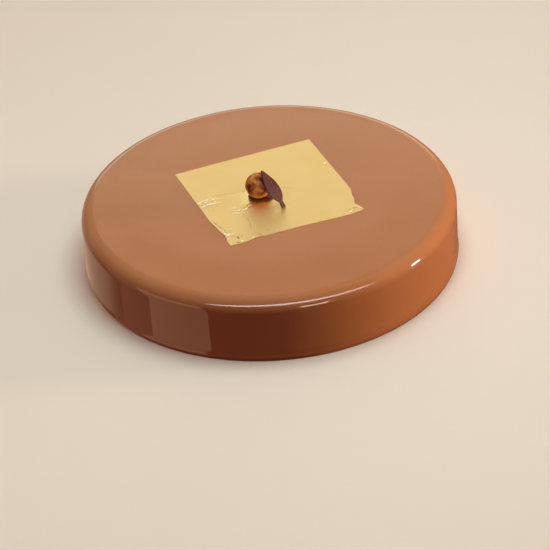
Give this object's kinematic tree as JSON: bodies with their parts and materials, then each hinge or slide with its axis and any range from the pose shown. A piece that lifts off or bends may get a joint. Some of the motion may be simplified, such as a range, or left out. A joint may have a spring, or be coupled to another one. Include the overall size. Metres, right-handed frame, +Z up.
{
  "type": "chocolate hazelnut cake",
  "caption": "Low round glazed chocolate cake with a rounded top edge, a square of gold leaf on top, a caramelised hazelnut and a small chocolate leaf.",
  "frame": {"origin": "middle of the cake's flat base, on the surface that it stands on", "axes": "+Z up, out of the cake's top; -Y towards the side from which the chocolate leaf stands in front of the hazelnut; +X to the right"},
  "size_m": [0.22, 0.22, 0.0591],
  "materials": {
    "glaze": "smooth milk chocolate mirror glaze",
    "gold": "thin wrinkled edible gold leaf, satin",
    "dark_chocolate": "moulded dark chocolate, silky",
    "nut": "roasted hazelnut in a thin glossy caramel coat"
  },
  "bodies": {
    "root": {"cake": "glaze", "gold_leaf": "gold", "chocolate_dab": "dark_chocolate", "hazelnut": "nut", "chocolate_leaf": "dark_chocolate"}
  },
  "joints": []
}
